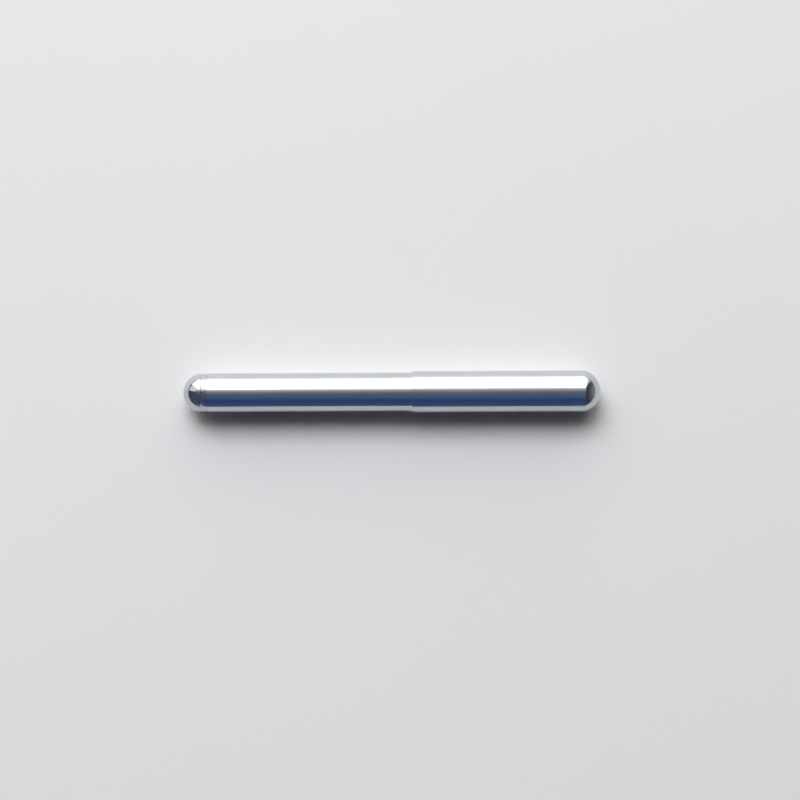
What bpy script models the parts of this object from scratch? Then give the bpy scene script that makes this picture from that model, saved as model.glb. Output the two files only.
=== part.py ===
"""A pocket technical pen with its cap on, lying along X with the tail at -X and the cap at +X.

Metres, +Z up. The origin is at the middle of the pen's length, on the surface that it lies on.
Every piece is turned about one axis, so its shape is an outline of (station, radius) points.
A station is the distance from the tail's tip along that axis. Threads are right-handed.
"""

import math
from collections import namedtuple

import bmesh
import bpy

MM = 0.001

# Driving dimensions
PEN_LENGTH = 97.0 * MM
CAP_RADIUS = 4.86 * MM
BARREL_RADIUS = 4.56 * MM
CAP_MOUTH = 53.12 * MM
BARREL_FRONT = 53.3 * MM
BARREL_REAR = 5.75 * MM
CAP_DOME_RADIUS = 5.0 * MM
CAP_DOME_DEPTH = 3.75 * MM
TAIL_DOME_RADIUS = 4.6 * MM
TAIL_DOME_DEPTH = 3.1 * MM
LINE_WIDTH = 0.7 * MM
NIB_TIP = 82.5 * MM

# Bores that the inner pieces share
CAP_BORE = 4.25 * MM
CAP_BORE_END = 93.6 * MM
BARREL_BORE = 3.75 * MM
SECTION_BORE = 2.75 * MM
TAIL_RECESS = 2.9 * MM
TAIL_RECESS_END = 2.35 * MM
WEIGHT_BORE = 1.5 * MM
INNER_CAP_BORE = 3.6 * MM
SEAL_BORE = 3.05 * MM

# The cap's thread fits the section and, with the cap posted, the tail
CAP_THREAD_PITCH = 0.7 * MM
CAP_THREAD_STARTS = 2
CAP_THREAD_ROOT = 4.20 * MM
CAP_THREAD_HEIGHT = 0.22 * MM
CAP_THREAD_CREST_GAP = 0.06 * MM
CAP_NUT_DEPTH = 0.16 * MM
TAIL_THREAD_ROOT = 4.44 * MM
TAIL_THREAD_HEIGHT = 0.10 * MM
SECTION_THREAD_START = 53.75 * MM
BARREL_THREAD_PITCH = 0.6 * MM
BARREL_THREAD_STARTS = 2
BARREL_THREAD_ROOT = 3.48 * MM
BARREL_THREAD_HEIGHT = 0.22 * MM
BARREL_NUT_DEPTH = 0.20 * MM
BARREL_THREAD_START = 46.8 * MM

# Clearances between pieces that meet
FACE_GAP = 0.05 * MM
CHAMFER = 0.1 * MM

# The outer skin has flats, one of them facing straight down, which the pen rests on.
# Each flat is two sides of the pieces that carry the skin, so that their bores stay rounder.
OUTER_FLATS = 16
OUTER_SIDES = 2 * OUTER_FLATS
FLAT_SHARE = math.cos(math.pi / OUTER_FLATS)
INNER_SIDES = 24
COIL_SIDES = 16
POINT_SIDES = 12
DOME_STEPS = 7
SHARP_ANGLE = math.radians(30)

AXIS_HEIGHT = CAP_RADIUS * FLAT_SHARE

# A helical stretch of an outline: shape is (share of the pitch, share of the height) points
Thread = namedtuple("Thread", "start end radius height pitch starts shape")
V_RIDGE = ((0.0, 0.0), (0.5, 1.0))
SQUARE_CHANNEL = ((0.0, 0.0), (0.08, 1.0), (0.5, 1.0), (0.58, 0.0))


def clear_scene():
    for old in list(bpy.data.objects):
        bpy.data.objects.remove(old, do_unlink=True)


def new_collection(name):
    collection = bpy.data.collections.new(name)
    bpy.context.scene.collection.children.link(collection)
    return collection


def principled(name, color, roughness, metallic, alpha=1.0):
    material = bpy.data.materials.new(name)
    material.use_nodes = True
    shader = material.node_tree.nodes["Principled BSDF"]
    shader.inputs["Base Color"].default_value = (*color, 1.0)
    shader.inputs["Roughness"].default_value = roughness
    shader.inputs["Metallic"].default_value = metallic
    shader.inputs["Alpha"].default_value = alpha
    return material


def polished_aluminium():
    return principled("polished_aluminium", (0.82, 0.83, 0.85), 0.12, 1.0)


def satin_aluminium():
    return principled("satin_aluminium", (0.74, 0.75, 0.77), 0.32, 1.0)


def stainless_steel():
    return principled("stainless_steel", (0.62, 0.61, 0.60), 0.22, 1.0)


def spring_steel():
    return principled("spring_steel", (0.48, 0.47, 0.46), 0.30, 1.0)


def brass():
    return principled("brass", (0.72, 0.53, 0.24), 0.28, 1.0)


def white_plastic():
    return principled("white_plastic", (0.83, 0.83, 0.80), 0.45, 0.0)


def black_plastic():
    return principled("black_plastic", (0.03, 0.03, 0.035), 0.38, 0.0)


def blue_plastic():
    return principled("blue_plastic", (0.03, 0.16, 0.55), 0.35, 0.0)


def clear_plastic():
    return principled("clear_plastic", (0.85, 0.88, 0.90), 0.25, 0.0, alpha=0.45)


def black_rubber():
    return principled("black_rubber", (0.02, 0.02, 0.02), 0.75, 0.0)


def grey_rubber():
    return principled("grey_rubber", (0.30, 0.31, 0.32), 0.70, 0.0)


def arc(centre, radius, start_angle, end_angle, steps):
    """Points on a circle about (centre, 0), with angles counted from the +X direction."""
    turns = [start_angle + (end_angle - start_angle) * i / steps for i in range(steps + 1)]
    return [(centre + radius * math.cos(t), radius * math.sin(t)) for t in turns]


def round_section(centre, ring_radius, wire_radius, sides):
    """The round cross-section of a ring, as a closed outline."""
    turns = [-2 * math.pi * i / sides for i in range(sides)]
    return [
        (centre + wire_radius * math.cos(t), ring_radius + wire_radius * math.sin(t)) for t in turns
    ]


def band(start, end, inner, outer, chamfer=CHAMFER):
    """The closed outline of a plain ring whose outer edges are chamfered."""
    return [
        (start, inner),
        (start, outer - chamfer),
        (start + chamfer, outer),
        (end - chamfer, outer),
        (end, outer - chamfer),
        (end, inner),
    ]


def thread_rows(thread, turn):
    """The thread's points where the outline has turned this share of a circle. Both ends run out."""
    low, high = sorted((thread.start, thread.end))
    pitches = math.ceil((high - low) / thread.pitch)
    fade_length = thread.pitch / 2
    rows = []
    for index in range(-thread.starts, pitches + 1):
        for share, rise in thread.shape:
            place = low + thread.pitch * (index + share + thread.starts * turn)
            station = min(max(place, low), high)
            fade = min(1.0, (station - low) / fade_length, (high - station) / fade_length)
            rows.append((station, thread.radius + thread.height * rise * fade))
    return rows if thread.start < thread.end else rows[::-1]


def place(piece, parent, material, collection):
    piece.parent = parent
    piece.data.materials.clear()
    piece.data.materials.append(material)
    collection.objects.link(piece)
    return piece


def shade_round(mesh):
    mesh.shade_smooth()
    mesh.set_sharp_from_angle(angle=SHARP_ANGLE)


def turned(name, outline, sides, parent, material, collection):
    """A solid of revolution. The outline ends on the axis at both ends, or it closes on itself."""
    mesh = bpy.data.meshes.new(name)
    points = [(station, 0.0, radius) for station, radius in outline]
    edges = [(i, i + 1) for i in range(len(points) - 1)]
    if outline[0][1] > 0:
        edges.append((len(points) - 1, 0))
    mesh.from_pydata(points, edges, [])
    piece = place(bpy.data.objects.new(name, mesh), parent, material, collection)
    piece.rotation_euler.x = math.pi / sides
    screw = piece.modifiers.new("turn", "SCREW")
    screw.axis = "X"
    screw.angle = 2 * math.pi
    screw.steps = sides
    screw.render_steps = sides
    screw.use_merge_vertices = True
    screw.merge_threshold = 1e-6
    screw.use_normal_flip = True
    graph = bpy.context.evaluated_depsgraph_get()
    solid = bpy.data.meshes.new_from_object(piece.evaluated_get(graph))
    piece.modifiers.clear()
    piece.data = solid
    solid.name = name
    bpy.data.meshes.remove(mesh)
    shade_round(solid)
    return piece


def flattened(rows, skin_radius):
    """The rows down the middle of a flat: those of the skin are nearer the axis there than at its edges."""
    return [
        (station, radius * FLAT_SHARE if radius >= skin_radius else radius) for station, radius in rows
    ]


def threaded(name, outline, sides, parent, material, collection, skin_radius=PEN_LENGTH):
    """As turned, for an outline that holds Thread stretches: a loft, because its outline changes.

    All that is skin_radius or more from the axis is skin, and each two sides of it make one flat.
    """
    shape = bmesh.new()
    columns = []
    for step in range(sides + 1):
        turn = step / sides
        angle = 2 * math.pi * turn
        rows = []
        for part in outline:
            rows.extend(thread_rows(part, turn) if isinstance(part, Thread) else [part])
        if step % 2 == 0:
            rows = flattened(rows, skin_radius)
        columns.append(
            [
                shape.verts.new((station, -radius * math.sin(angle), radius * math.cos(angle)))
                for station, radius in rows
            ]
        )
    on_axis = outline[0][1] == 0
    wrap = 1 if on_axis else 0
    for left, right in zip(columns, columns[1:]):
        for row in range(wrap, len(left)):
            shape.faces.new((left[row - 1], left[row], right[row], right[row - 1]))
    bmesh.ops.remove_doubles(shape, verts=shape.verts, dist=1e-7)
    bmesh.ops.recalc_face_normals(shape, faces=shape.faces)
    mesh = bpy.data.meshes.new(name)
    shape.to_mesh(mesh)
    shape.free()
    shade_round(mesh)
    return place(bpy.data.objects.new(name, mesh), parent, material, collection)


def spring(name, start, end, coil_radius, wire_radius, coils, parent, material, collection):
    points_per_coil = 10
    count = coils * points_per_coil
    curve = bpy.data.curves.new(name, "CURVE")
    curve.dimensions = "3D"
    curve.bevel_depth = wire_radius
    curve.bevel_resolution = 2
    curve.use_fill_caps = True
    wire = curve.splines.new("POLY")
    wire.points.add(count)
    for index in range(count + 1):
        share = index / count
        angle = 2 * math.pi * index / points_per_coil
        station = start + (end - start) * share
        side = coil_radius * math.sin(angle)
        height = coil_radius * math.cos(angle)
        wire.points[index].co = (station, side, height, 1.0)
    return place(bpy.data.objects.new(name, curve), parent, material, collection)


def cut_slot(piece, start, end, width, parent, cutters):
    """Saws a slot through the top of a ring, so that it springs into its groove."""
    reach = 2 * CAP_RADIUS
    shape = bmesh.new()
    bmesh.ops.create_cube(shape, size=1.0)
    bmesh.ops.scale(shape, vec=(end - start, width, reach), verts=shape.verts)
    mesh = bpy.data.meshes.new(piece.name + "_saw")
    shape.to_mesh(mesh)
    shape.free()
    saw = bpy.data.objects.new(mesh.name, mesh)
    saw.parent = parent
    saw.location = ((start + end) / 2, 0.0, reach / 2)
    saw.hide_render = True
    saw.display_type = "WIRE"
    cutters.objects.link(saw)
    cut = piece.modifiers.new("slot", "BOOLEAN")
    cut.operation = "DIFFERENCE"
    cut.solver = "EXACT"
    cut.object = saw


def joint_empty(name, parent, collection):
    """A rigid body's empty. It sits on the pen's axis at the tail's tip, so local X is the station."""
    empty = bpy.data.objects.new(name, None)
    empty.empty_display_size = CAP_RADIUS
    empty.parent = parent
    if parent is None:
        empty.location = (-PEN_LENGTH / 2, 0.0, AXIS_HEIGHT)
    collection.objects.link(empty)
    return empty


def cap_shell(parent, material, collection):
    chamfer = CHAMFER
    thread_crest = CAP_THREAD_ROOT + CAP_THREAD_HEIGHT + CAP_THREAD_CREST_GAP
    thread_end = SECTION_THREAD_START + 5 * CAP_THREAD_PITCH
    mouth_radius = thread_crest + CAP_NUT_DEPTH
    groove_start, groove_end = ring_groove()
    groove_radius = 4.50 * MM
    drill_flat = 3.0 * MM
    drill_tip = CAP_BORE_END + 1.3 * MM
    dome_centre = PEN_LENGTH - CAP_DOME_RADIUS
    dome_edge = math.acos((CAP_DOME_RADIUS - CAP_DOME_DEPTH) / CAP_DOME_RADIUS)
    outline = [
        (drill_tip, 0.0),
        (CAP_BORE_END, drill_flat),
        (CAP_BORE_END, CAP_BORE),
        (groove_end, CAP_BORE),
        (groove_end, groove_radius),
        (groove_start, groove_radius),
        (groove_start, CAP_BORE),
        (thread_end + 2 * chamfer, CAP_BORE),
        Thread(
            thread_end,
            SECTION_THREAD_START,
            thread_crest,
            CAP_NUT_DEPTH,
            CAP_THREAD_PITCH,
            CAP_THREAD_STARTS,
            V_RIDGE,
        ),
        (SECTION_THREAD_START - chamfer, mouth_radius),
        (CAP_MOUTH, mouth_radius),
        (CAP_MOUTH, CAP_RADIUS - chamfer),
        (CAP_MOUTH + chamfer, CAP_RADIUS),
        (PEN_LENGTH - CAP_DOME_DEPTH - chamfer, CAP_RADIUS),
    ]
    outline += arc(dome_centre, CAP_DOME_RADIUS, dome_edge, 0.0, DOME_STEPS)[:-1]
    outline += [(PEN_LENGTH, 0.0)]
    skin_radius = mouth_radius + 0.01 * MM
    return threaded("cap_shell", outline, OUTER_SIDES, parent, material, collection, skin_radius)


def ring_groove():
    """Where the cap's groove for the retaining ring starts and ends."""
    return 63.78 * MM, 64.52 * MM


def inner_cap_retaining_ring(parent, material, collection, cutters):
    start, end = ring_groove()
    start += FACE_GAP
    end -= FACE_GAP
    outline = band(start, end, 3.72 * MM, 4.42 * MM)
    name = "inner_cap_retaining_ring"
    ring = turned(name, outline, INNER_SIDES, parent, material, collection)
    cut_slot(ring, start - CHAMFER, end + CHAMFER, 1.2 * MM, parent, cutters)
    return ring


def inner_cap(parent, material, collection):
    mouth = 67.3 * MM
    seal_seat = 84.4 * MM
    front = 86.0 * MM
    boss_end = 88.0 * MM
    boss_radius = 2.1 * MM
    wide_radius = 4.1 * MM
    slim_radius = 3.6 * MM
    outline = [
        (seal_seat, 0.0),
        (seal_seat, SEAL_BORE),
        (75.4 * MM, SEAL_BORE),
        (74.9 * MM, INNER_CAP_BORE),
        (mouth + 0.3 * MM, INNER_CAP_BORE),
        (mouth, INNER_CAP_BORE + 0.15 * MM),
        (mouth, wide_radius - CHAMFER),
        (mouth + CHAMFER, wide_radius),
        (75.6 * MM, wide_radius),
        (76.2 * MM, slim_radius),
        (front - 2 * CHAMFER, slim_radius),
        (front, slim_radius - 2 * CHAMFER),
        (front, boss_radius),
        (boss_end - CHAMFER, boss_radius),
        (boss_end, boss_radius - CHAMFER),
        (boss_end, 0.0),
    ]
    return turned("inner_cap", outline, INNER_SIDES, parent, material, collection)


def point_seal(parent, material, collection):
    front = 79.6 * MM
    back = 84.35 * MM
    radius = 3.0 * MM
    hole = 0.5 * MM
    outline = [
        (NIB_TIP + 0.6 * MM, 0.0),
        (NIB_TIP + 0.45 * MM, hole),
        (front + 1.0 * MM, hole),
        (front, 1.2 * MM),
        (front, radius - CHAMFER),
        (front + CHAMFER, radius),
        (back, radius),
        (back, 0.0),
    ]
    return turned("point_seal", outline, INNER_SIDES, parent, material, collection)


def inner_cap_spring(parent, material, collection):
    start = 86.3 * MM
    end = 92.6 * MM
    coil = 2.6 * MM
    wire = 0.2 * MM
    return spring("inner_cap_spring", start, end, coil, wire, 5, parent, material, collection)


def cap_thrust_washer(parent, material, collection):
    end = CAP_BORE_END - 2 * FACE_GAP
    outline = band(end - 0.6 * MM, end, 1.2 * MM, 4.1 * MM)
    return turned("cap_thrust_washer", outline, INNER_SIDES, parent, material, collection)


def barrel_tube(parent, material, collection):
    chamfer = CHAMFER
    mouth_radius = BARREL_BORE + chamfer
    thread_end = BARREL_THREAD_START + 6 * BARREL_THREAD_PITCH
    outline = [
        (BARREL_REAR, BARREL_BORE),
        (BARREL_REAR, BARREL_RADIUS - chamfer),
        (BARREL_REAR + chamfer, BARREL_RADIUS),
        (BARREL_FRONT - chamfer, BARREL_RADIUS),
        (BARREL_FRONT, BARREL_RADIUS - chamfer),
        (BARREL_FRONT, mouth_radius),
        (BARREL_FRONT - chamfer, BARREL_BORE),
        Thread(
            thread_end,
            BARREL_THREAD_START,
            BARREL_BORE,
            BARREL_NUT_DEPTH,
            BARREL_THREAD_PITCH,
            BARREL_THREAD_STARTS,
            V_RIDGE,
        ),
    ]
    skin_radius = BARREL_RADIUS - 2 * chamfer
    return threaded("barrel_tube", outline, OUTER_SIDES, parent, material, collection, skin_radius)


def tail_finial(parent, material, collection):
    shank_radius = 3.68 * MM
    shank_end = 8.8 * MM
    shoulder = BARREL_REAR - FACE_GAP
    dome_edge = math.acos((TAIL_DOME_RADIUS - TAIL_DOME_DEPTH) / TAIL_DOME_RADIUS)
    outline = arc(TAIL_DOME_RADIUS, TAIL_DOME_RADIUS, math.pi, math.pi - dome_edge, DOME_STEPS)
    outline[0] = (0.0, 0.0)
    outline += [
        Thread(
            TAIL_DOME_DEPTH + CHAMFER,
            shoulder - 2 * CHAMFER,
            TAIL_THREAD_ROOT,
            TAIL_THREAD_HEIGHT,
            CAP_THREAD_PITCH,
            CAP_THREAD_STARTS,
            V_RIDGE,
        ),
        (shoulder, TAIL_THREAD_ROOT),
        (shoulder, shank_radius),
        (shank_end - CHAMFER, shank_radius),
        (shank_end, shank_radius - CHAMFER),
        (shank_end, TAIL_RECESS),
        (TAIL_RECESS_END, TAIL_RECESS),
        (TAIL_RECESS_END, 0.0),
    ]
    skin_radius = TAIL_THREAD_ROOT - CHAMFER
    return threaded("tail_finial", outline, OUTER_SIDES, parent, material, collection, skin_radius)


def tail_thrust_washer(parent, material, collection):
    start = TAIL_RECESS_END + FACE_GAP
    outline = band(start, start + 0.5 * MM, 0.8 * MM, 2.8 * MM)
    return turned("tail_thrust_washer", outline, INNER_SIDES, parent, material, collection)


def cartridge_spring(parent, material, collection):
    start = 3.15 * MM
    end = 12.35 * MM
    coil = 2.3 * MM
    wire = 0.2 * MM
    return spring("cartridge_spring", start, end, coil, wire, 6, parent, material, collection)


def ink_cartridge(parent, material, collection):
    rear = 12.6 * MM
    mouth = 46.8 * MM
    radius = 3.4 * MM
    wall = 0.55 * MM
    neck_radius = 2.3 * MM
    neck_bore = 1.38 * MM
    neck_start = 43.4 * MM
    slope = 1.6 * MM
    end_rounding = 0.5 * MM
    outline = [
        (rear, 0.0),
        (rear, radius - end_rounding),
        (rear + end_rounding, radius),
        (neck_start - slope, radius),
        (neck_start, neck_radius),
        (mouth - CHAMFER, neck_radius),
        (mouth, neck_radius - CHAMFER),
        (mouth, neck_bore + CHAMFER),
        (mouth - CHAMFER, neck_bore),
        (neck_start + 0.2 * MM, neck_bore),
        (neck_start - slope + 0.2 * MM, radius - wall),
        (rear + wall, radius - wall),
        (rear + wall, 0.0),
    ]
    return turned("ink_cartridge", outline, INNER_SIDES, parent, material, collection)


def clamp_ring(parent, material, collection):
    outline = band(43.9 * MM, 45.7 * MM, 2.4 * MM, 3.3 * MM, 0.2 * MM)
    return turned("clamp_ring", outline, INNER_SIDES, parent, material, collection)


def grip_section(parent, material, collection):
    rear = 46.0 * MM
    front = 72.0 * MM
    pilot_radius = 3.68 * MM
    pilot_start = 50.5 * MM
    joint_groove = (51.0 * MM, 51.8 * MM, 3.08 * MM)
    seal_groove = (69.25 * MM, 69.85 * MM, 3.06 * MM)
    shoulder = BARREL_FRONT + FACE_GAP
    barrel_thread_end = 50.2 * MM
    cap_thread_end = 56.35 * MM
    lip_radius = 3.5 * MM
    outline = [
        (rear, SECTION_BORE),
        (rear, 3.3 * MM),
        (rear + 0.2 * MM, BARREL_THREAD_ROOT),
        Thread(
            BARREL_THREAD_START,
            barrel_thread_end,
            BARREL_THREAD_ROOT,
            BARREL_THREAD_HEIGHT,
            BARREL_THREAD_PITCH,
            BARREL_THREAD_STARTS,
            V_RIDGE,
        ),
        (pilot_start - CHAMFER, BARREL_THREAD_ROOT),
        (pilot_start, pilot_radius),
        (joint_groove[0], pilot_radius),
        (joint_groove[0], joint_groove[2]),
        (joint_groove[1], joint_groove[2]),
        (joint_groove[1], pilot_radius),
        (shoulder, pilot_radius),
        (shoulder, CAP_THREAD_ROOT),
        Thread(
            SECTION_THREAD_START,
            cap_thread_end,
            CAP_THREAD_ROOT,
            CAP_THREAD_HEIGHT,
            CAP_THREAD_PITCH,
            CAP_THREAD_STARTS,
            V_RIDGE,
        ),
        (56.55 * MM, CAP_THREAD_ROOT),
        (57.0 * MM, 3.85 * MM),
        (60.2 * MM, 3.58 * MM),
        (63.8 * MM, 3.42 * MM),
        (66.4 * MM, 3.42 * MM),
        (68.4 * MM, lip_radius),
        (seal_groove[0], lip_radius),
        (seal_groove[0], seal_groove[2]),
        (seal_groove[1], seal_groove[2]),
        (seal_groove[1], lip_radius),
        (71.2 * MM, lip_radius),
        (71.8 * MM, 3.36 * MM),
        (front, 3.2 * MM),
        (front, SECTION_BORE),
    ]
    return threaded("grip_section", outline, OUTER_SIDES, parent, material, collection)


def barrel_o_ring(parent, material, collection):
    outline = round_section(51.4 * MM, 3.42 * MM, 0.28 * MM, 8)
    return turned("barrel_o_ring", outline, INNER_SIDES, parent, material, collection)


def section_o_ring(parent, material, collection):
    outline = round_section(69.55 * MM, 3.33 * MM, 0.22 * MM, 8)
    return turned("section_o_ring", outline, INNER_SIDES, parent, material, collection)


def line_width_ring(parent, material, collection):
    outline = band(72.05 * MM, 72.9 * MM, 2.8 * MM, 3.2 * MM)
    return turned("line_width_ring", outline, INNER_SIDES, parent, material, collection)


def drawing_cone(parent, material, collection):
    shank_radius = 2.65 * MM
    flange_start = 72.95 * MM
    tube_bore = LINE_WIDTH / 2 + 0.07 * MM
    tube_seat = 76.1 * MM
    ink_bore = 0.95 * MM
    rear = 68.2 * MM
    tip = 78.5 * MM
    outline = [
        (rear, ink_bore),
        (rear, shank_radius - 0.2 * MM),
        (rear + 0.2 * MM, shank_radius),
        (flange_start, shank_radius),
        (flange_start, 3.2 * MM),
        (73.75 * MM, 3.2 * MM),
        (73.95 * MM, 3.0 * MM),
        (73.95 * MM, 2.6 * MM),
        (77.3 * MM, 1.0 * MM),
        (tip, 0.64 * MM),
        (tip, tube_bore),
        (tube_seat, tube_bore),
        (tube_seat - 0.4 * MM, ink_bore),
    ]
    return turned("drawing_cone", outline, INNER_SIDES, parent, material, collection)


def nib_tube(parent, material, collection):
    """The drawing tube. Its outer diameter is the line width, and its shoulder rests on the cone."""
    radius = LINE_WIDTH / 2
    bore = 0.2 * MM
    shoulder_start = 78.55 * MM
    shoulder_end = 79.2 * MM
    outline = [
        (76.2 * MM, bore),
        (76.2 * MM, radius),
        (shoulder_start, radius),
        (shoulder_start, 0.55 * MM),
        (shoulder_end, 0.55 * MM),
        (shoulder_end + 0.2 * MM, radius),
        (NIB_TIP, radius),
        (NIB_TIP, bore),
    ]
    return turned("nib_tube", outline, POINT_SIDES, parent, material, collection)


def compensator(parent, material, collection):
    """The ink feed: a spigot for the cartridge, a helical air channel and the weight's chamber."""
    spigot_radius = 1.3 * MM
    spigot_end = 43.4 * MM
    body_radius = 2.62 * MM
    body_start = 47.0 * MM
    front = 68.1 * MM
    feed_bore = 0.55 * MM
    chamber_end = 55.4 * MM
    channel_start = 48.2 * MM
    channel_end = 67.4 * MM
    outline = [
        (spigot_end, feed_bore),
        (spigot_end, spigot_radius - CHAMFER),
        (spigot_end + CHAMFER, spigot_radius),
        (body_start, spigot_radius),
        (body_start, body_radius),
        Thread(channel_start, channel_end, body_radius, -0.5 * MM, 2.0 * MM, 1, SQUARE_CHANNEL),
        (front, body_radius),
        (front, WEIGHT_BORE),
        (chamber_end, WEIGHT_BORE),
        (chamber_end, feed_bore),
    ]
    return threaded("compensator", outline, COIL_SIDES, parent, material, collection)


def safety_plug(parent, material, collection):
    outline = band(55.5 * MM, 57.2 * MM, 0.4 * MM, 1.42 * MM)
    return turned("safety_plug", outline, COIL_SIDES, parent, material, collection)


def drop_weight(parent, material, collection):
    rear = 61.0 * MM
    front = 68.1 * MM
    radius = 1.2 * MM
    hole = 0.16 * MM
    bevel = 0.25 * MM
    outline = [
        (rear, 0.0),
        (rear, radius - bevel),
        (rear + bevel, radius),
        (front - bevel, radius),
        (front, radius - bevel),
        (front, hole),
        (front - 2.6 * MM, hole),
        (front - 2.6 * MM, 0.0),
    ]
    return turned("drop_weight", outline, COIL_SIDES, parent, material, collection)


def cleaning_wire(parent, material, collection):
    """A straight wire from the weight's hole through the tube, just past its end."""
    start = 65.6 * MM
    end = NIB_TIP + 0.1 * MM
    curve = bpy.data.curves.new("cleaning_wire", "CURVE")
    curve.dimensions = "3D"
    curve.bevel_depth = 0.1 * MM
    curve.bevel_resolution = 2
    curve.use_fill_caps = True
    wire = curve.splines.new("POLY")
    wire.points.add(1)
    wire.points[0].co = (start, 0.0, 0.0, 1.0)
    wire.points[1].co = (end, 0.0, 0.0, 1.0)
    piece = bpy.data.objects.new("cleaning_wire", curve)
    return place(piece, parent, material, collection)


def build_section(root, parts):
    aluminium = satin_aluminium()
    rubber = black_rubber()
    steel = stainless_steel()
    plastic = black_plastic()
    grip_section(root, aluminium, parts)
    barrel_o_ring(root, rubber, parts)
    section_o_ring(root, rubber, parts)
    line_width_ring(root, blue_plastic(), parts)
    drawing_cone(root, steel, parts)
    nib_tube(root, steel, parts)
    compensator(root, plastic, parts)
    safety_plug(root, plastic, parts)
    needle = joint_empty("needle", root, parts)
    drop_weight(needle, brass(), parts)
    cleaning_wire(needle, steel, parts)


def build_cartridge(root, parts):
    cartridge = joint_empty("cartridge", root, parts)
    ink_cartridge(cartridge, clear_plastic(), parts)
    clamp_ring(cartridge, white_plastic(), parts)


def build_cap(root, aluminium, parts, cutters):
    inner = joint_empty("inner_cap_body", root, parts)
    washer = joint_empty("cap_washer", inner, parts)
    shell = joint_empty("cap", washer, parts)
    steel = spring_steel()
    inner_cap(inner, white_plastic(), parts)
    point_seal(inner, grey_rubber(), parts)
    inner_cap_spring(inner, steel, parts)
    cap_thrust_washer(washer, white_plastic(), parts)
    cap_shell(shell, aluminium, parts)
    inner_cap_retaining_ring(shell, steel, parts, cutters)


def build_barrel(root, aluminium, parts):
    slide = joint_empty("barrel_slide", root, parts)
    washer = joint_empty("barrel_washer", slide, parts)
    shell = joint_empty("barrel", washer, parts)
    cartridge_spring(slide, spring_steel(), parts)
    tail_thrust_washer(washer, white_plastic(), parts)
    barrel_tube(shell, aluminium, parts)
    tail_finial(shell, aluminium, parts)


def main():
    clear_scene()
    parts = new_collection("technical_pen")
    cutters = new_collection("cutters")
    aluminium = polished_aluminium()
    root = joint_empty("section", None, parts)
    build_section(root, parts)
    build_cartridge(root, parts)
    build_cap(root, aluminium, parts, cutters)
    build_barrel(root, aluminium, parts)


main()
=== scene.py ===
"""Looks for the pocket technical pen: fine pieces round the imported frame, finishes, floor and light."""

import math
from collections import namedtuple

import bmesh
import bpy
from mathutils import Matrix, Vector


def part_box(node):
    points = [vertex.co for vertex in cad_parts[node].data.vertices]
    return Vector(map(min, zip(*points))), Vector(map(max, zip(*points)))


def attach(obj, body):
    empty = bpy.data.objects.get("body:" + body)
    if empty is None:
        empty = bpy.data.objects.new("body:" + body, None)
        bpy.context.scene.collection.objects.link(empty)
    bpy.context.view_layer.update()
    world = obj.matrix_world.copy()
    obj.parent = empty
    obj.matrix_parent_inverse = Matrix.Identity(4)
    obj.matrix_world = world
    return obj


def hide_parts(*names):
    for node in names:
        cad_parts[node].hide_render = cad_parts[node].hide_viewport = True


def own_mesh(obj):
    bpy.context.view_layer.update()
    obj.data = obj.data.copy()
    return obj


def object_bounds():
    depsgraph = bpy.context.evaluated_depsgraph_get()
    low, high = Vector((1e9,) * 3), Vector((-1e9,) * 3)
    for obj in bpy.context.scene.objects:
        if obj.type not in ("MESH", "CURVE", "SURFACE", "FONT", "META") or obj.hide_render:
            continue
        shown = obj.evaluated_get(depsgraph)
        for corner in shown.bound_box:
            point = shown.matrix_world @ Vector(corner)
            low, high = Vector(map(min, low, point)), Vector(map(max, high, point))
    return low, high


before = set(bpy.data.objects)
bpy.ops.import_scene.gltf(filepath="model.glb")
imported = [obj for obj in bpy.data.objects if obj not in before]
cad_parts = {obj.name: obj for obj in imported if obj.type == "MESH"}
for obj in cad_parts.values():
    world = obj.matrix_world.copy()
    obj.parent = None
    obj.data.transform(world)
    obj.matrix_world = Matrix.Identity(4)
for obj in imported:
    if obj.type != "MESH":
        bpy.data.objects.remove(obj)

CAD_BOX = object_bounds()
MM = 0.001

# The frame's outer solids have flat sides, and a flat is nearer the axis than the round surface is
OUTER_FLATS = 16
FLAT_SHARE = math.cos(math.pi / OUTER_FLATS)

# How finely the visible pieces are turned
SHELL_SIDES = 192
INNER_SIDES = 96
FINE_SIDES = 48
DOME_STEPS = 40
BEND_STEPS = 12
THREAD_STEPS = 12
EDGE_STEPS = 4
COIL_STEPS = 40
WIRE_SIDES = 16
RING_SIDES = 24

# How softly their edges are rounded, and how much of a corner counts as an edge
EDGE_RADIUS = 0.08 * MM
FINE_EDGE_RADIUS = 0.04 * MM
SMALL_EDGE_RADIUS = 0.03 * MM
MOULDED_EDGE_RADIUS = 0.15 * MM
SHARP_ANGLE = math.radians(40)
LEAST_CORNER = math.radians(9)

# A helical stretch of an outline
Thread = namedtuple("Thread", "start end radius height pitch starts shape")


def station(x):
    """Distance along the pen from the tail's tip."""
    return x - CAD_BOX[0].x


def span(node):
    """The stations where a node starts and ends."""
    low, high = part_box(node)
    return station(low.x), station(high.x)


def outer_radius(node):
    low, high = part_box(node)
    return (high.z - low.z) / 2 / FLAT_SHARE


AXIS_Z = sum(corner.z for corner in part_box("cap_shell")) / 2

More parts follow.
